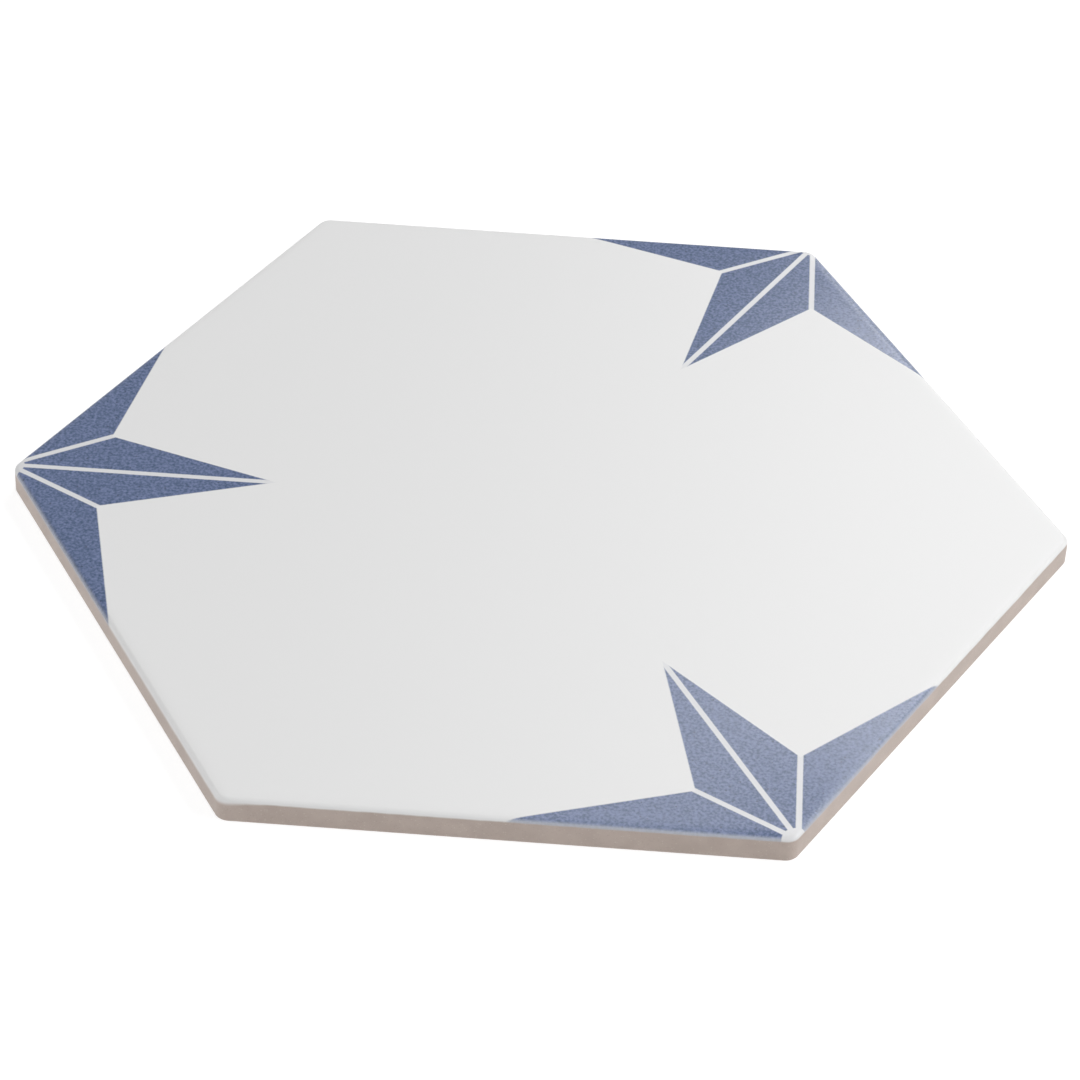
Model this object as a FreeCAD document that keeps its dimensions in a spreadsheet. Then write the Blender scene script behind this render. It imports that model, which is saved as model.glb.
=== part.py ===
# Hexagon floor tile: one dry-pressed, glazed and fired slab of porcelain stoneware.
#
# The glazed face is up. Its rim eases down a little and then turns over, in a round lip, into the
# bare side. The hidden bed face, which the adhesive grips, is a flat border round a honeycomb of
# shallow key cells that the lower press punch leaves.
#
# Millimetres. The origin is at the middle of the bed face, +Z is the way the glazed face looks,
# and two opposite corners lie on the X axis, so two opposite sides are parallel to it.
import FreeCAD
import Part
import Sketcher
import math
import os

NODE = "hexagon_tile"
PARTS = "parts"

doc = FreeCAD.newDocument("hexagon_floor_tile")

# Driving dimensions, one alias a row
SIZES = (
    ("across_flats", 285.0, "side to opposite side"),
    ("thickness", 8.8, "bed face to glazed face"),
    ("corner_radius", 4.5, "rounding of the six upright corners, seen from above"),
    ("cushion_width", 3.0, "how far in from the side the glazed face starts to ease down"),
    ("cushion_drop", 0.15, "how far the rim would have eased down by the side"),
    ("lip_radius", 1.5, "radius where the rim turns over into the side"),
    ("foot_chamfer", 0.5, "bevel round the bed face"),
    ("bed_border", 9.0, "plain band between the side and the nearest key cell"),
    ("cell_rings", 6, "rings of key cells round the middle one"),
    ("rib_width", 3.4, "ridge left between two key cells, at the bed face"),
    ("key_depth", 0.6, "depth of the key cells"),
    ("key_draft", 35.0, "lean of the cell walls, in degrees, which frees the punch"),
)

sheet = doc.addObject("Spreadsheet::Sheet", "sizes")
for row, (alias, value, meaning) in enumerate(SIZES, start=1):
    sheet.set(f"A{row}", alias)
    sheet.set(f"B{row}", str(value))
    sheet.set(f"C{row}", meaning)
    sheet.setAlias(f"B{row}", alias)
doc.recompute()

# A key cell stands on its point while the tile lies on its flats, so that rows of cells run
# parallel to the tile's sides. The pitch is what makes the outermost row end at the border:
# its centres lie cell_rings rows of sin(60) pitches out, and its points reach further by the
# cell's circumradius, which is (pitch - rib_width) / sqrt(3).
ROW_SHARE = "sin(60)"
POINT_SHARE = "tan(30)"
CELL_PITCH = (
    f"((sizes.across_flats / 2 - sizes.bed_border + sizes.rib_width * {POINT_SHARE})"
    f" / (sizes.cell_rings * {ROW_SHARE} + {POINT_SHARE}))"
)
CELL_WIDTH = f"({CELL_PITCH} - sizes.rib_width)"

# What a sketch calls its own origin, and the start, end and centre of a line or circle
ORIGIN = -1
START, END, CENTRE = range(1, 4)


def origin_feature(body, role):
    """The body's own origin plane or axis of that role."""
    return next(o for o in body.Origin.OriginFeatures if o.Role == role)


def new_sketch(body, name):
    """A sketch on the body's bed plane, which is its XY plane."""
    sketch = body.newObject("Sketcher::SketchObject", name)
    sketch.AttachmentSupport = [(origin_feature(body, "XY_Plane"), "")]
    sketch.MapMode = "FlatFace"
    return sketch


def bound(sketch, constraint, expression):
    """Adds a dimension to the sketch and ties it to the sizes."""
    index = sketch.addConstraint(constraint)
    sketch.setExpression(f"Constraints[{index}]", expression)


def add_hexagon(sketch, centre_x, half_width, first_corner_deg):
    """Draws a regular hexagon round a point on the X axis and returns its circle and its sides."""
    circumradius = half_width / math.cos(math.radians(30))
    corners = [
        FreeCAD.Vector(
            centre_x + circumradius * math.cos(math.radians(first_corner_deg + 60 * k)),
            circumradius * math.sin(math.radians(first_corner_deg + 60 * k)),
            0,
        )
        for k in range(6)
    ]
    middle = FreeCAD.Vector(centre_x, 0, 0)
    circle = sketch.addGeometry(Part.Circle(middle, FreeCAD.Vector(0, 0, 1), circumradius), True)
    sides = [
        sketch.addGeometry(Part.LineSegment(corners[k], corners[(k + 1) % 6])) for k in range(6)
    ]
    for k, side in enumerate(sides):
        following = sides[(k + 1) % 6]
        sketch.addConstraint(Sketcher.Constraint("Coincident", side, END, following, START))
        sketch.addConstraint(Sketcher.Constraint("PointOnObject", side, START, circle))
    for side in sides[1:]:
        sketch.addConstraint(Sketcher.Constraint("Equal", sides[0], side))
    return circle, sides


def edges_at(feature, height):
    """Names of the edges of a feature that lie wholly at one height."""
    tolerance = 1e-4
    return [
        f"Edge{number}"
        for number, edge in enumerate(feature.Shape.Edges, start=1)
        if abs(edge.BoundBox.ZMin - height) < tolerance
        and abs(edge.BoundBox.ZMax - height) < tolerance
    ]


def upright_edges(feature):
    """Names of the edges of a feature that run straight up."""
    return [
        f"Edge{number}"
        for number, edge in enumerate(feature.Shape.Edges, start=1)
        if edge.BoundBox.ZLength > 0.9 * edge.Length
    ]


def dress(body, kind, name, base, edges, **sizes):
    """Adds a fillet or chamfer on named edges, with its sizes tied to the sheet."""
    feature = body.newObject(f"PartDesign::{kind}", name)
    feature.Base = (base, edges)
    if "Size2" in sizes:
        feature.ChamferType = "Two distances"
    for prop, expression in sizes.items():
        feature.setExpression(prop, expression)
    doc.recompute()
    return feature


def pressed_slab(body):
    """The hexagonal slab with its upright corners rounded."""
    outline = new_sketch(body, "outline")
    half_width = sheet.across_flats / 2
    circle, sides = add_hexagon(outline, 0.0, half_width, 0)
    outline.addConstraint(Sketcher.Constraint("Coincident", circle, CENTRE, ORIGIN, START))
    far_side = sides[1]
    near_side = sides[4]
    outline.addConstraint(Sketcher.Constraint("Horizontal", far_side))
    bound(
        outline,
        Sketcher.Constraint("DistanceY", near_side, END, far_side, START, 2 * half_width),
        "sizes.across_flats",
    )
    slab = body.newObject("PartDesign::Pad", "slab")
    slab.Profile = outline
    slab.setExpression("Length", "sizes.thickness")
    doc.recompute()
    return dress(body, "Fillet", "corners", slab, upright_edges(slab), Radius="sizes.corner_radius")


def rolled_rim(body, base):
    """The cushion edge of the glazed face: a very shallow bevel, and a round lip outside it."""
    bevel = dress(
        body,
        "Chamfer",
        "rim_bevel",
        base,
        edges_at(base, sheet.thickness),
        Size="sizes.cushion_drop",
        Size2="sizes.cushion_width",
    )
    lip_edge = edges_at(bevel, sheet.thickness - sheet.cushion_drop)
    return dress(body, "Fillet", "rim_lip", bevel, lip_edge, Radius="sizes.lip_radius")


def bed_bevel(body, base):
    """The small bevel round the bed face, where the green edge would crumble."""
    return dress(body, "Chamfer", "foot", base, edges_at(base, 0.0), Size="sizes.foot_chamfer")


def key_cell(body, name, expression_x, start_x):
    """One shallow cell with leaning walls, pressed up into the bed face, on the X axis."""
    sketch = new_sketch(body, f"{name}_outline")
    half_width = (sheet.across_flats / 2 - sheet.bed_border) / (2 * sheet.cell_rings)
    circle, sides = add_hexagon(sketch, start_x, half_width, -30)
    sketch.addConstraint(Sketcher.Constraint("Vertical", sides[0]))
    bound(
        sketch,
        Sketcher.Constraint("DistanceX", sides[3], START, sides[0], START, 2 * half_width),
        CELL_WIDTH,
    )
    if expression_x is None:
        sketch.addConstraint(Sketcher.Constraint("Coincident", circle, CENTRE, ORIGIN, START))
    else:
        sketch.addConstraint(Sketcher.Constraint("PointOnObject", circle, CENTRE, ORIGIN))
        bound(
            sketch,
            Sketcher.Constraint("DistanceX", ORIGIN, START, circle, CENTRE, start_x),
            expression_x,
        )
    return sketch


def key_pocket(body, name, sketch):
    """The pocket that a cell's outline cuts upwards."""
    pocket = body.newObject("PartDesign::Pocket", name)
    pocket.Profile = sketch
    pocket.Reversed = True
    pocket.setExpression("Length", "sizes.key_depth")
    pocket.setExpression("TaperAngle", "-sizes.key_draft")
    doc.recompute()
    return pocket


def honeycomb(body):
    """The middle cell, and the rings round it as three equal fields of cells."""
    middle_sketch = key_cell(body, "middle_cell", None, 0.0)
    key_pocket(body, "middle_cell", middle_sketch)

    # One field is the parallelogram of cells between the X axis and the row that leaves the
    # middle cell at 120 degrees, and two turns of 120 degrees make the other two.
    start_x = (sheet.across_flats / 2 - sheet.bed_border) / sheet.cell_rings
    first_sketch = key_cell(body, "first_cell", CELL_PITCH, start_x)
    turned = math.radians(120)
    row_line = first_sketch.addGeometry(
        Part.LineSegment(
            FreeCAD.Vector(0, 0, 0),
            FreeCAD.Vector(start_x * math.cos(turned), start_x * math.sin(turned), 0),
        ),
        True,
    )
    first_sketch.addConstraint(Sketcher.Constraint("Coincident", row_line, START, ORIGIN, START))
    first_sketch.addConstraint(
        Sketcher.Constraint("Angle", ORIGIN, START, row_line, START, turned)
    )
    bound(first_sketch, Sketcher.Constraint("Distance", row_line, start_x), CELL_PITCH)
    first = key_pocket(body, "first_cell", first_sketch)

    cells = body.newObject("PartDesign::MultiTransform", "key_cells")
    cells.Originals = [first]
    field = body.newObject("PartDesign::LinearPattern", "cell_field")
    field.Direction = (first_sketch, ["H_Axis"])
    field.Mode = "Extent"
    field.setExpression("Length", f"{CELL_PITCH} * (sizes.cell_rings - 1)")
    field.setExpression("Occurrences", "sizes.cell_rings")
    field.Direction2 = (first_sketch, ["Axis0"])
    field.Mode2 = "Extent"
    field.setExpression("Length2", f"{CELL_PITCH} * sizes.cell_rings")
    field.setExpression("Occurrences2", "sizes.cell_rings + 1")
    turns = body.newObject("PartDesign::PolarPattern", "field_turns")
    turns.Axis = (first_sketch, ["N_Axis"])
    turns.Angle = 360
    turns.Occurrences = 3
    cells.Transformations = [field, turns]
    # No two faces of the cells lie in one plane and touch, so there is nothing to merge
    cells.Refine = False
    body.Tip = cells


def make_tile():
    """The whole tile, as one body."""
    body = doc.addObject("PartDesign::Body", NODE)
    body.Label = NODE
    slab = pressed_slab(body)
    rim = rolled_rim(body, slab)
    bed_bevel(body, rim)
    honeycomb(body)
    return body


def check(parts):
    """Stops if any object failed, or if a part isn't one valid closed solid."""
    for thing in doc.Objects:
        if {"Invalid", "Error"} & set(thing.State):
            raise RuntimeError(f"{thing.Name} failed: {thing.State}")
    for part in parts:
        shape = part.Shape
        if shape.isNull() or not shape.isValid() or len(shape.Solids) != 1:
            raise RuntimeError(f"{part.Label} isn't one valid solid")


def export(parts):
    """Writes each part to its own file, named after it."""
    os.makedirs(PARTS, exist_ok=True)
    for part in parts:
        part.Shape.exportStep(os.path.join(PARTS, f"{part.Label}.step"))
        box = part.Shape.BoundBox
        print(
            f"{part.Label}: {part.Shape.Volume:.1f} mm3, {len(part.Shape.Faces)} faces,"
            f" {box.XLength:.3f} x {box.YLength:.3f} x {box.ZLength:.3f} mm"
        )


tile = make_tile()
doc.recompute()
check([tile])
export([tile])
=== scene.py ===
import bmesh
import bpy
import math
from mathutils import Matrix, Vector


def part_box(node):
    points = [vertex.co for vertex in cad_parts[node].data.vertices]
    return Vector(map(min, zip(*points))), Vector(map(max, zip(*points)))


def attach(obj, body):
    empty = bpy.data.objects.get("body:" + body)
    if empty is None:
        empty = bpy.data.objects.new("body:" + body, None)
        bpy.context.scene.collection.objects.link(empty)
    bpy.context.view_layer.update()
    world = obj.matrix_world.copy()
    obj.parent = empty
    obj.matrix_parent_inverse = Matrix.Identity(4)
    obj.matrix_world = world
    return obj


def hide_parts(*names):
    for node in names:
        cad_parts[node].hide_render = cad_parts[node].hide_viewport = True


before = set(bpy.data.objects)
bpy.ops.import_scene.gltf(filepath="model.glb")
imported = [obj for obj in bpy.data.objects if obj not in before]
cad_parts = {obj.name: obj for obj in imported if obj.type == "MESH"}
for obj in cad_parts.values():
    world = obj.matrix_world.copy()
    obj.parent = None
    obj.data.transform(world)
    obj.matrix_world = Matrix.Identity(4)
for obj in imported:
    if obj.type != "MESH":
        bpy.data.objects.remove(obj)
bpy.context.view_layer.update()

# The slab. One piece of porcelain stoneware, pressed from dry powder between two steel punches.
# The upper punch leaves a flat face whose rim eases down and turns over in a round lip, and the
# die wall leaves plain upright sides. The CAD part's box gives the size, the CAD solid the small
# radii.
TILE = "hexagon_tile"
low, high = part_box(TILE)
HALF_WIDTH = (high.y - low.y) / 2
HALF_LENGTH = (high.x - low.x) / 2
THICKNESS = high.z - low.z
RIM_WIDTH = 0.003
RIM_DROP = 0.00015
RIM_BLEND = 0.02
LIP_RADIUS = 0.0015
FOOT_BEVEL = 0.0005
SHARP_FROM = math.radians(50)

SIXTH = math.radians(60)
TWELFTH = math.radians(30)
CORNER_RADIUS = (HALF_WIDTH - HALF_LENGTH * math.cos(TWELFTH)) / (1 - math.cos(TWELFTH))
CORNER_STEPS = 8
SIDE_STEPS = 40
FACE_RINGS = 20
SIDE_RINGS = 5
ARC_RINGS = 8
LIP_RINGS_ON_FACE = 4


def towards(angle):
    """The unit vector in the plane at this angle from the X axis."""
    return Vector((math.cos(angle), math.sin(angle)))


def rounded_hexagon(half_width, corner_radius, turn, corner_steps, side_steps):
    """Points round a hexagon from the middle of one corner's arc, anticlockwise."""
    centre_reach = (half_width - corner_radius) / math.cos(TWELFTH)
    points = []
    for corner in range(6):
        out = turn + SIXTH * corner
        centre = towards(out) * centre_reach
        next_centre = towards(out + SIXTH) * centre_reach
        half_arc = [
            corner_radius * towards(out + TWELFTH * 2 * step / corner_steps)
            for step in range(corner_steps // 2 + 1)
        ]
        points += [centre + offset for offset in half_arc]
        points += [
            centre.lerp(next_centre, step / side_steps) + half_arc[-1]
            for step in range(1, side_steps)
        ]
        points += [
            next_centre + corner_radius * towards(out + SIXTH - TWELFTH * 2 * step / corner_steps)
            for step in range(corner_steps // 2, 0, -1)
        ]
    return points


def slab_ring(inset):
    """The slab's outline moved in by inset. Inside the rim its corners shrink with it."""
    if inset < RIM_WIDTH:
        radius = CORNER_RADIUS - inset
    else:
        radius = (CORNER_RADIUS - RIM_WIDTH) * (HALF_WIDTH - inset) / (HALF_WIDTH - RIM_WIDTH)
    return rounded_hexagon(HALF_WIDTH - inset, radius, 0.0, CORNER_STEPS, SIDE_STEPS)


def face_profile():
    """(inset, height) of the glazed face's rings, from near the middle to the top of the side."""
    slope = math.atan2(RIM_DROP, RIM_WIDTH)
    blend_start = RIM_WIDTH + RIM_BLEND * math.tan(slope / 2)
    rings = []
    for ring in range(1, FACE_RINGS + 1):
        rings.append((HALF_WIDTH + (blend_start - HALF_WIDTH) * ring / FACE_RINGS, THICKNESS))
    for ring in range(1, ARC_RINGS + 1):
        turn = slope * ring / ARC_RINGS
        drop = RIM_BLEND * (1 - math.cos(turn))
        rings.append((blend_start - RIM_BLEND * math.sin(turn), THICKNESS - drop))
    lip_centre = THICKNESS - RIM_DROP - LIP_RADIUS * math.cos(slope)
    lip_centre += LIP_RADIUS * (1 - math.sin(slope)) * RIM_DROP / RIM_WIDTH
    for ring in range(ARC_RINGS + 1):
        turn = slope + (math.pi / 2 - slope) * ring / ARC_RINGS
        rings.append((LIP_RADIUS * (1 - math.sin(turn)), lip_centre + LIP_RADIUS * math.cos(turn)))
    return rings


def side_profile(top):
    """(inset, height) of the side's rings, from below the lip round the foot to the bed face."""
    rings = []
    for ring in range(1, SIDE_RINGS + 1):
        rings.append((0.0, top + (FOOT_BEVEL - top) * ring / SIDE_RINGS))
    for ring in range(1, ARC_RINGS + 1):
        turn = math.pi / 2 * ring / ARC_RINGS
        rings.append((FOOT_BEVEL * (1 - math.cos(turn)), FOOT_BEVEL * (1 - math.sin(turn))))
    return rings


# Where each zone of the surface lies on the map that the finished piece carries. The glazed face
# has most of it, because its printed lines are the finest thing on the tile.
GLAZED, FIRED, PRESSED = range(3)
MAP_NAME = "OFBake"
FACE_MAP_SCALE = 2.43
FACE_MAP_MIDDLE = Vector((0.41, 0.356))
BED_MAP_SCALE = 0.98
BED_MAP_MIDDLE = Vector((0.175, 0.85))
SIDE_MAP_CORNER = Vector((0.37, 0.73))
SIDE_MAP_ROW = 0.042


class Slab:
    """The tile's mesh as it is put together, ring by ring, with its map beside it."""

    def __init__(self):
        self.mesh = bmesh.new()
        self.map = self.mesh.loops.layers.uv.new(MAP_NAME)

    def ring(self, points, height):
        return [self.mesh.verts.new((x, y, height)) for x, y in points]

    def face(self, corners, zone, places):
        """Adds one face with its place on the map."""
        made = self.mesh.faces.new(corners)
        made.material_index = zone
        for loop, place in zip(made.loops, places):
            loop[self.map].uv = place

    def band(self, upper, lower, zone, place):
        """Joins two rings of as many points. place(vertex, quad, step) gives the map."""
        count = len(upper)
        for quad in range(count):
            following = (quad + 1) % count
            corners = [upper[quad], lower[quad], lower[following], upper[following]]
            steps = [quad, quad, quad + 1, quad + 1]
            self.face(corners, zone, [place(v, quad, step) for v, step in zip(corners, steps)])


def on_face_map(vertex, quad=0, step=0):
    return FACE_MAP_MIDDLE + FACE_MAP_SCALE * vertex.co.xy


def on_bed_map(vertex, quad=0, step=0):
    return BED_MAP_MIDDLE + BED_MAP_SCALE * vertex.co.xy


def on_side_map(vertex, quad, step):
    """Each of the six sides is a row of its own, with half a corner at each end."""
    steps = CORNER_STEPS + SIDE_STEPS
    row = quad // steps
    along = (step / steps - row) * 2 * HALF_WIDTH * math.tan(TWELFTH) * FACE_MAP_SCALE
    return SIDE_MAP_CORNER + Vector((along, row * SIDE_MAP_ROW + vertex.co.z * FACE_MAP_SCALE))


slab = Slab()
rings = [slab.ring(slab_ring(inset), height) for inset, height in face_profile()]
middle = slab.mesh.verts.new((0.0, 0.0, THICKNESS))
first = rings[0]
for number, vertex in enumerate(first):
    corners = [middle, vertex, first[(number + 1) % len(first)]]
    slab.face(corners, GLAZED, [on_face_map(v) for v in corners])
on_face = len(rings) - ARC_RINGS + LIP_RINGS_ON_FACE
for inner, outer in zip(rings[: on_face - 1], rings[1:on_face]):
    slab.band(inner, outer, GLAZED, on_face_map)

side_top = rings[-1][0].co.z
side_rings = rings[on_face - 1 :]
side_rings += [slab.ring(slab_ring(inset), height) for inset, height in side_profile(side_top)]
for upper, lower in zip(side_rings, side_rings[1:]):
    slab.band(upper, lower, FIRED, on_side_map)

# The bed face. The lower punch presses it full of shallow key cells, which the adhesive fills, and
# leaves a plain border round them. Their edges are soft, because loose powder doesn't hold a
# sharp one. The layout is that of the CAD solid.
BED_BORDER = 0.009
CELL_RINGS = 6
RIB_WIDTH = 0.0034
KEY_DEPTH = 0.0006
KEY_DRAFT = math.radians(35)
KEY_SOFTNESS = 0.0002
CELL_PITCH = (HALF_WIDTH - BED_BORDER + RIB_WIDTH * math.tan(TWELFTH)) / (
    CELL_RINGS * math.sin(SIXTH) + math.tan(TWELFTH)
)
CELL_CORNER_RADIUS = 0.0012
CELL_CORNER_STEPS = 4
CELL_SIDE_STEPS = 4
WALL_RINGS = 6


def cell_centres():
    """Centres of the middle cell and of the rings round it."""
    for row in range(-CELL_RINGS, CELL_RINGS + 1):
        for column in range(-CELL_RINGS, CELL_RINGS + 1):
            if abs(row + column) <= CELL_RINGS:
                yield CELL_PITCH * Vector((column + row / 2, row * math.sin(SIXTH)))


def cell_plot():
    """Points round the plot of bed face that one cell has to itself, out to the ribs' middles."""
    reach = CELL_PITCH / 2 / math.cos(TWELFTH)
    steps = CELL_CORNER_STEPS + CELL_SIDE_STEPS
    points = []
    for corner in range(6):
        start = towards(TWELFTH + SIXTH * corner) * reach
        end = towards(TWELFTH + SIXTH * (corner + 1)) * reach
        points += [start.lerp(end, step / steps) for step in range(steps)]
    return points


def wall_profile():
    """(half width, height) of the rings down one cell's leaning wall, with soft edges."""
    mouth = (CELL_PITCH - RIB_WIDTH) / 2 + KEY_SOFTNESS
    floor = (CELL_PITCH - RIB_WIDTH) / 2 - KEY_DEPTH * math.tan(KEY_DRAFT) - KEY_SOFTNESS
    for ring in range(WALL_RINGS + 1):
        share = ring / WALL_RINGS
        eased = share * share * (3 - 2 * share)
        yield mouth + (floor - mouth) * share, KEY_DEPTH * eased


plot = cell_plot()
for centre in cell_centres():
    outer = slab.ring([centre + point for point in plot], 0.0)
    for half_width, height in wall_profile():
        outline = rounded_hexagon(
            half_width, CELL_CORNER_RADIUS, TWELFTH, CELL_CORNER_STEPS, CELL_SIDE_STEPS
        )
        inner = slab.ring([centre + point for point in outline], height)
        slab.band(outer, inner, PRESSED, on_bed_map)
        outer = inner
    bottom = slab.mesh.verts.new((centre.x, centre.y, KEY_DEPTH))
    for number, vertex in enumerate(outer):
        corners = [vertex, bottom, outer[(number + 1) % len(outer)]]
        slab.face(corners, PRESSED, [on_bed_map(v) for v in corners])

MERGE = 1e-6
flat_bed = [v for v in slab.mesh.verts if v.co.z < MERGE]
bmesh.ops.remove_doubles(slab.mesh, verts=flat_bed, dist=MERGE)
open_edges = [edge for edge in slab.mesh.edges if edge.is_boundary]
border = bmesh.ops.triangle_fill(slab.mesh, use_beauty=True, edges=open_edges)
for face in border["geom"]:
    if isinstance(face, bmesh.types.BMFace):
        face.material_index = PRESSED
        for loop in face.loops:
            loop[slab.map].uv = on_bed_map(loop.vert)
bmesh.ops.recalc_face_normals(slab.mesh, faces=slab.mesh.faces)

tile_mesh = bpy.data.meshes.new("tile")
slab.mesh.to_mesh(tile_mesh)
slab.mesh.free()
tile_mesh.shade_smooth()
tile_mesh.set_sharp_from_angle(angle=SHARP_FROM)
tile = bpy.data.objects.new("tile", tile_mesh)
bpy.context.collection.objects.link(tile)
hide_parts(TILE)
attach(tile, "root")


# The fired body. It shows on the sides and the bed: a warm grey-beige stoneware, dense and a
# little grainy, with paler and darker grains in it.
BODY_COLOUR = (0.422, 0.349, 0.309, 1)
BODY_DARK = (0.303, 0.243, 0.211, 1)
BODY_PALE = (0.504, 0.446, 0.400, 1)
BODY_ROUGHNESS = 0.45
CLOUD_SIZE = 0.004
CLOUD_STRENGTH = 0.35
DARK_GRAIN = 0.00022
DARK_SHARE = 0.16
DARK_STRENGTH = 0.55
PALE_GRAIN = 0.00028
PALE_SHARE = 0.14
PALE_STRENGTH = 0.6


class Field:
    """A value that varies over a surface. Python's operators on it add Math nodes."""

    def __init__(self, tree, socket=None):
        self.tree = tree
        self.socket = socket

    def node(self, kind, settings, sockets, output=0):
        """Adds a node: its settings first, then the values or links of its sockets."""
        node = self.tree.nodes.new(kind)
        for name, value in settings.items():
            setattr(node, name, value)
        for name, value in sockets.items():
            if isinstance(value, Field):
                self.tree.links.new(value.socket, node.inputs[name])
            else:
                node.inputs[name].default_value = value
        return Field(self.tree, node.outputs[output])

    def math(self, operation, *others):
        settings = {"operation": operation}
        return self.node("ShaderNodeMath", settings, dict(enumerate((self, *others))))

    def __add__(self, other):
        return self.math("ADD", other)

    def __sub__(self, other):
        return self.math("SUBTRACT", other)

    def __rsub__(self, other):
        return self.math("MULTIPLY_ADD", -1.0, other)

    def __mul__(self, other):
        return self.math("MULTIPLY", other)

    def __abs__(self):
        return self.math("ABSOLUTE")

    __radd__ = __add__

    def least(self, *others):
        """The smallest of this and the others."""
        found = self
        for other in others:
            found = found.math("MINIMUM", other)
        return found

    def rise(self, start, end):
        """Goes smoothly from 0 at start to 1 at end."""
        settings = {"interpolation_type": "SMOOTHSTEP"}
        return self.node("ShaderNodeMapRange", settings, {0: self, 1: start, 2: end})

    def mix(self, without, full):
        """A colour between two, by this share."""
        settings = {"data_type": "RGBA"}
        return self.node("ShaderNodeMix", settings, {0: self, 6: without, 7: full}, 2)

    def noise(self, grain, detail=2.0):
        """Soft noise from 0 to 1 with patches of about this size, in metres, over a place."""
        sockets = {"Vector": self, "Scale": 0.5 / grain, "Detail": detail}
        return self.node("ShaderNodeTexNoise", {}, sockets)

    def bump(self, depth):
        """A normal from this height, where 1 stands depth metres proud."""
        return self.node("ShaderNodeBump", {}, {"Height": self, "Distance": depth})


def finish_of(name, roughness):
    """A new material in the tile's next slot: its principled shader and the place on the tile."""
    material = bpy.data.materials.new(name)
    material.use_nodes = True
    tree = material.node_tree
    shader = tree.nodes["Principled BSDF"]
    shader.inputs["Roughness"].default_value = roughness
    tile_mesh.materials.append(material)
    place = Field(tree).node("ShaderNodeTexCoord", {}, {}, "Object")
    return shader, place


def give(shader, **fields):
    """Feeds fields to the shader's sockets, whose names have spaces for underscores."""
    for name, field in fields.items():
        field.tree.links.new(field.socket, shader.inputs[name.replace("_", " ")])


def grains(place, size, share):
    """Small round grains of about this size that cover about this share of the cells."""
    sockets = {"Vector": place, "Scale": 0.5 / size}
    cell = place.node("ShaderNodeTexVoronoi", {}, sockets)
    colour = cell.socket.node.outputs["Color"]
    chance = place.node("ShaderNodeSeparateColor", {}, {0: Field(place.tree, colour)})
    return chance.rise(1 - share, 1 - share + 0.02) * (1 - cell.rise(0.25, 0.45))


def body_colour(place):
    """The stoneware's cloudy ground with its dark and pale grains."""
    cloud = place.noise(CLOUD_SIZE, 3.0).rise(0.3, 0.7) * CLOUD_STRENGTH
    dark = grains(place, DARK_GRAIN, DARK_SHARE) * DARK_STRENGTH
    pale = grains(place, PALE_GRAIN, PALE_SHARE) * PALE_STRENGTH
    ground = cloud.mix(BODY_COLOUR, BODY_DARK)
    return pale.mix(dark.mix(ground, BODY_DARK), BODY_PALE)


# The glazed face. A matte white glaze, and on it a pattern in blue ink that is fired in: a
# six-pointed star round every second corner, cut into facets by lines of bare glaze, so that a
# whole star forms where three tiles meet. Its centre, where the joints cross, stays bare.
HALF_JOINT = 0.001
STAR_CENTRE = (HALF_WIDTH + HALF_JOINT) / math.cos(TWELFTH)
BARE_CENTRE = 0.0048
POINT_REACH = 0.0833
NOTCH_REACH = 0.0345
LINE_WIDTH = 0.00172
PRINT_SHIFT = (-0.00006, 0.0009)
PRINT_TURN = math.radians(0.14)
INK_SOFTNESS = 0.00025
INK_STRAY = 0.00008
INK_DEEP = (0.018, 0.052, 0.126, 1)
INK_THIN = (0.131, 0.172, 0.322, 1)
INK_SPECK = (0.015, 0.030, 0.075, 1)
MOTTLE_SIZE = 0.00045
SPECK_SIZE = 0.0005
SPECK_SHARE = 0.05
SPECK_STRENGTH = 0.7
INK_ROUGHNESS = 0.147
INK_HAZE = 0.11
# How much ink is left on the lip and where its fade runs: partly thinner ink, partly painted sheen.
INK_ON_LIP = 0.46
INK_ON_RUN = 0.72
INK_FADE_START = 0.00005
INK_FADE_END = 0.0010
GLAZE_WHITE = (0.682, 0.682, 0.682, 1)
GLAZE_ROUGHNESS = 0.365
GLAZED_FROM = towards(math.radians(-150))
RUN_START = 0.012
RUN_FULL = 0.001
GLAZE_REACH = 0.00130
GLAZE_RUN = 0.00065
GLAZE_WAVER = 0.00025
GLAZE_SOFTNESS = 0.0003
RUN_SOFTNESS = 0.0011


def from_star(x, y):
    """Along and across from the nearest star's centre: along the bisector, folded about it."""
    reach = (x * x + y * y).math("SQRT")
    bearing = y.math("ARCTAN2", x)
    off_axis = abs((bearing - math.pi).math("WRAP", SIXTH, -SIXTH))
    return STAR_CENTRE - reach * off_axis.math("COSINE"), reach * off_axis.math("SINE")


def facet_depth(along, across):
    """How far inside a facet a place is, and how far inside the whole star, in metres.

    Bare lines part the facets along the star's notches and down the point that lies on the tile.
    """
    reach = (along * along + across * across).math("SQRT")
    bearing = TWELFTH - abs(across.math("ARCTAN2", along) - TWELFTH)
    along_ray = reach * bearing.math("COSINE")
    from_ray = reach * bearing.math("SINE")
    notch = NOTCH_REACH * towards(TWELFTH)
    edge = math.hypot(POINT_REACH - notch.x, notch.y)
    slant, rise = notch.y / edge, (POINT_REACH - notch.x) / edge
    inside_edge = POINT_REACH * slant - along_ray * slant - from_ray * rise
    from_notch_line = along_ray * math.sin(TWELFTH) - from_ray * math.cos(TWELFTH)
    beside_lines = across.least(from_notch_line) - LINE_WIDTH / 2
    return inside_edge.least(beside_lines, reach - BARE_CENTRE), inside_edge


def split(place):
    """The place's X, Y and Z."""
    return [place.node("ShaderNodeSeparateXYZ", {}, {0: place}, axis) for axis in ("X", "Y", "Z")]


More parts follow.
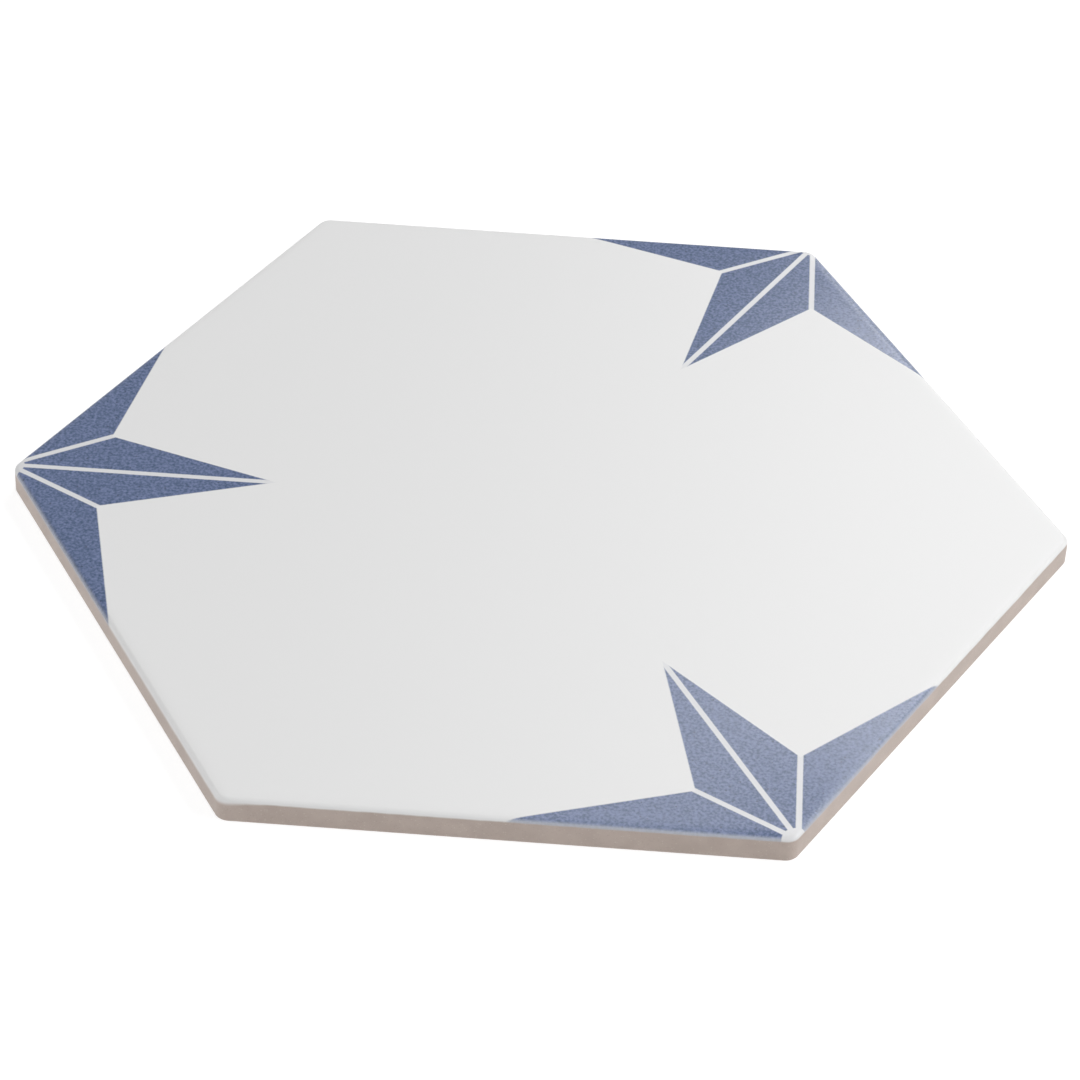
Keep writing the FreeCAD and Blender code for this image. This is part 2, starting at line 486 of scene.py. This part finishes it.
def met_first(x, y):
    """1 on the side that met the glaze first, where it ran lower, and 0 elsewhere."""
    reach = x * GLAZED_FROM.x + y * GLAZED_FROM.y
    return reach.rise(HALF_WIDTH - RUN_START, HALF_WIDTH - RUN_FULL)


def printed_glaze(place):
    """The share of ink at a place, with soft and slightly ragged edges, and the glaze's colour.

    A haze of ink lies over the bare lines too, and the ink is paler on the lip: partly thinner
    there, partly a painted sheen in place of the lamps' reflection on the rounded edge.
    """
    x, y, z = split(place)
    # How much paler the ink gets on the lip: thinner ink and painted sheen, less on the side the
    # glaze met first.
    thinned_and_sheen = 1 - INK_ON_LIP - met_first(x, y) * (INK_ON_RUN - INK_ON_LIP)
    x = x - PRINT_SHIFT[0]
    y = y - PRINT_SHIFT[1]
    turned_x = x * math.cos(PRINT_TURN) + y * math.sin(PRINT_TURN)
    turned_y = y * math.cos(PRINT_TURN) - x * math.sin(PRINT_TURN)
    facet, star = facet_depth(*from_star(turned_x, turned_y))
    stray = (place.noise(0.0003) - 0.5) * (2 * INK_STRAY)
    printed = (facet + stray).rise(-INK_SOFTNESS, INK_SOFTNESS)
    haze = (star + stray).rise(-INK_SOFTNESS, INK_SOFTNESS) * INK_HAZE
    # Painted sheen: the ink fades over the lip, partly as real thinning, partly in place of the
    # lamps' reflection that the rim's slope loses.
    lip_fade_and_sheen = (THICKNESS - z).rise(INK_FADE_START, INK_FADE_END)
    ink = printed.math("MAXIMUM", haze) * (1 - lip_fade_and_sheen * thinned_and_sheen)
    mottle = place.noise(MOTTLE_SIZE, 3.0).rise(0.22, 0.78)
    specks = grains(place, SPECK_SIZE, SPECK_SHARE) * SPECK_STRENGTH
    colour = specks.mix(mottle.mix(INK_DEEP, INK_THIN), INK_SPECK)
    return ink, ink.mix(GLAZE_WHITE, colour)


glaze, place = finish_of("matte_glaze", GLAZE_ROUGHNESS)
ink, colour = printed_glaze(place)
give(
    glaze,
    Base_Color=colour,
    Roughness=GLAZE_ROUGHNESS - ink * (GLAZE_ROUGHNESS - INK_ROUGHNESS),
    Normal=place.noise(0.0012, 3.0).bump(0.000004),
)

# The sides. The glaze runs over the lip and ends just below it, in a line that wavers a little.
# On the side that met the glaze first it thins out lower down, without a clear line.
body, place = finish_of("fired_body", BODY_ROUGHNESS)
x, y, z = split(place)
run = met_first(x, y)
glaze_end = THICKNESS - GLAZE_REACH - run * GLAZE_RUN
glaze_end += (place.noise(0.004) - 0.5) * (2 * GLAZE_WAVER)
softness = GLAZE_SOFTNESS + run * (RUN_SOFTNESS - GLAZE_SOFTNESS)
glazed = (z - glaze_end).rise(softness * -1, softness)
ink, colour = printed_glaze(place)
glaze_gloss = GLAZE_ROUGHNESS - ink * (GLAZE_ROUGHNESS - INK_ROUGHNESS)
give(
    body,
    Base_Color=glazed.mix(body_colour(place), colour),
    Roughness=BODY_ROUGHNESS + glazed * (glaze_gloss - BODY_ROUGHNESS),
    Normal=place.noise(0.0003, 3.0).bump(0.00004),
)

BED_ROUGHNESS = 0.85

pressed, place = finish_of("pressed_bed", BED_ROUGHNESS)
give(pressed, Base_Color=body_colour(place), Normal=place.noise(0.0004, 4.0).bump(0.00008))


# The floor that the tile lies on. It is plain and glows a little, so that it shows as white
# wherever no shadow falls on it.
FLOOR_SIZE = 12.0
FLOOR_DROP = 0.0001
FLOOR_COLOUR = (0.4, 0.4, 0.4, 1)
FLOOR_LIFT = 0.73

bpy.ops.mesh.primitive_plane_add(size=FLOOR_SIZE, location=(0, 0, -FLOOR_DROP))
floor = bpy.context.object
floor.name = "floor"
floor_material = bpy.data.materials.new("floor")
floor_material.use_nodes = True
tree = floor_material.node_tree
floor_shader = tree.nodes["Principled BSDF"]
floor_shader.inputs["Base Color"].default_value = FLOOR_COLOUR
floor_shader.inputs["Roughness"].default_value = 0.9
floor_shader.inputs["Specular IOR Level"].default_value = 0.0
floor_shader.inputs["Emission Color"].default_value = (1, 1, 1, 1)
floor_shader.inputs["Emission Strength"].default_value = FLOOR_LIFT
floor.data.materials.append(floor_material)

# The light: a white surround and six softboxes. The one behind the tile stands to the right, so
# its sheen pales the ink towards that side. The others light the face, sides and lips.
SURROUND = 0.05


def seen_directly(tree):
    """1 for what the camera, a reflection or a view through glass sees, and 0 for light."""
    rays = ("Is Camera Ray", "Is Glossy Ray", "Is Transmission Ray")
    kinds = [Field(tree).node("ShaderNodeLightPath", {}, {}, ray) for ray in rays]
    return kinds[0].math("MAXIMUM", kinds[1]).math("MAXIMUM", kinds[2])


world = bpy.data.worlds.new("surround")
bpy.context.scene.world = world
world.use_nodes = True
tree = world.node_tree
background = tree.nodes["Background"]
share = seen_directly(tree)
strength = share * (1 - SURROUND) + SURROUND
tree.links.new(strength.socket, background.inputs["Strength"])
background.inputs["Color"].default_value = (1, 1, 1, 1)


def area_lamp(name, azimuth, elevation, distance, width, length, radiance, roll=0):
    """A softbox that faces the tile, angles in degrees: azimuth 0 is beyond it, 90 on its right."""
    lamp = bpy.data.lights.new(name, "AREA")
    lamp.shape = "RECTANGLE"
    lamp.size = width
    lamp.size_y = length
    lamp.energy = radiance * math.pi * width * length
    stand = bpy.data.objects.new(name, lamp)
    turn = math.radians(azimuth)
    tilt = math.radians(elevation)
    level = Vector((math.sin(turn), math.cos(turn), 0)) * math.cos(tilt)
    stand.location = (level + Vector((0, 0, math.sin(tilt)))) * distance
    facing = stand.location.to_track_quat("Z", "Y").to_matrix()
    stand.rotation_euler = (facing @ Matrix.Rotation(math.radians(roll), 3, "Z")).to_euler()
    bpy.context.collection.objects.link(stand)


area_lamp("back", 27.2, 45.5, 2.93, 2.08, 0.638, 5.59, -21.2)
area_lamp("right", 91.5, 35.6, 1.8, 1.42, 1.11, 4.0)
area_lamp("left", -95.4, 25.4, 2.0, 0.8, 0.8, 6.5)
area_lamp("front", 169.3, 50.0, 1.8, 0.831, 2.20, 2.36)
area_lamp("top", 1.1, 69.5, 1.8, 0.2, 1.80, 2.64)
area_lamp("low", 17.0, 20.5, 2.5, 0.8, 1.1, 2.1)


# The camera. It stands in front of the tile and looks down on it through a long lens, as in the
# photograph, tipped a little to one side.
LENS = 139.9
SENSOR = 36.0
AIM = Vector((0.00115, -0.0131, THICKNESS / 2 + 0.00008))
DISTANCE = 1.2947
LOOKS_DOWN = math.radians(39.93)
LOOKS_LEFT = math.radians(2.14)
TIPPED = math.radians(2.605)

camera = bpy.data.cameras.new("camera")
camera.lens = LENS
camera.sensor_width = SENSOR
camera.clip_start = 0.05
camera.clip_end = 50.0
viewer = bpy.data.objects.new("camera", camera)
view = Vector(
    (
        -math.sin(LOOKS_LEFT) * math.cos(LOOKS_DOWN),
        math.cos(LOOKS_LEFT) * math.cos(LOOKS_DOWN),
        -math.sin(LOOKS_DOWN),
    )
)
facing = view.to_track_quat("-Z", "Y").to_matrix() @ Matrix.Rotation(TIPPED, 3, "Z")
viewer.matrix_world = Matrix.Translation(AIM - view * DISTANCE) @ facing.to_4x4()
bpy.context.collection.objects.link(viewer)
bpy.context.scene.camera = viewer
bpy.context.scene.view_settings.view_transform = "Standard"
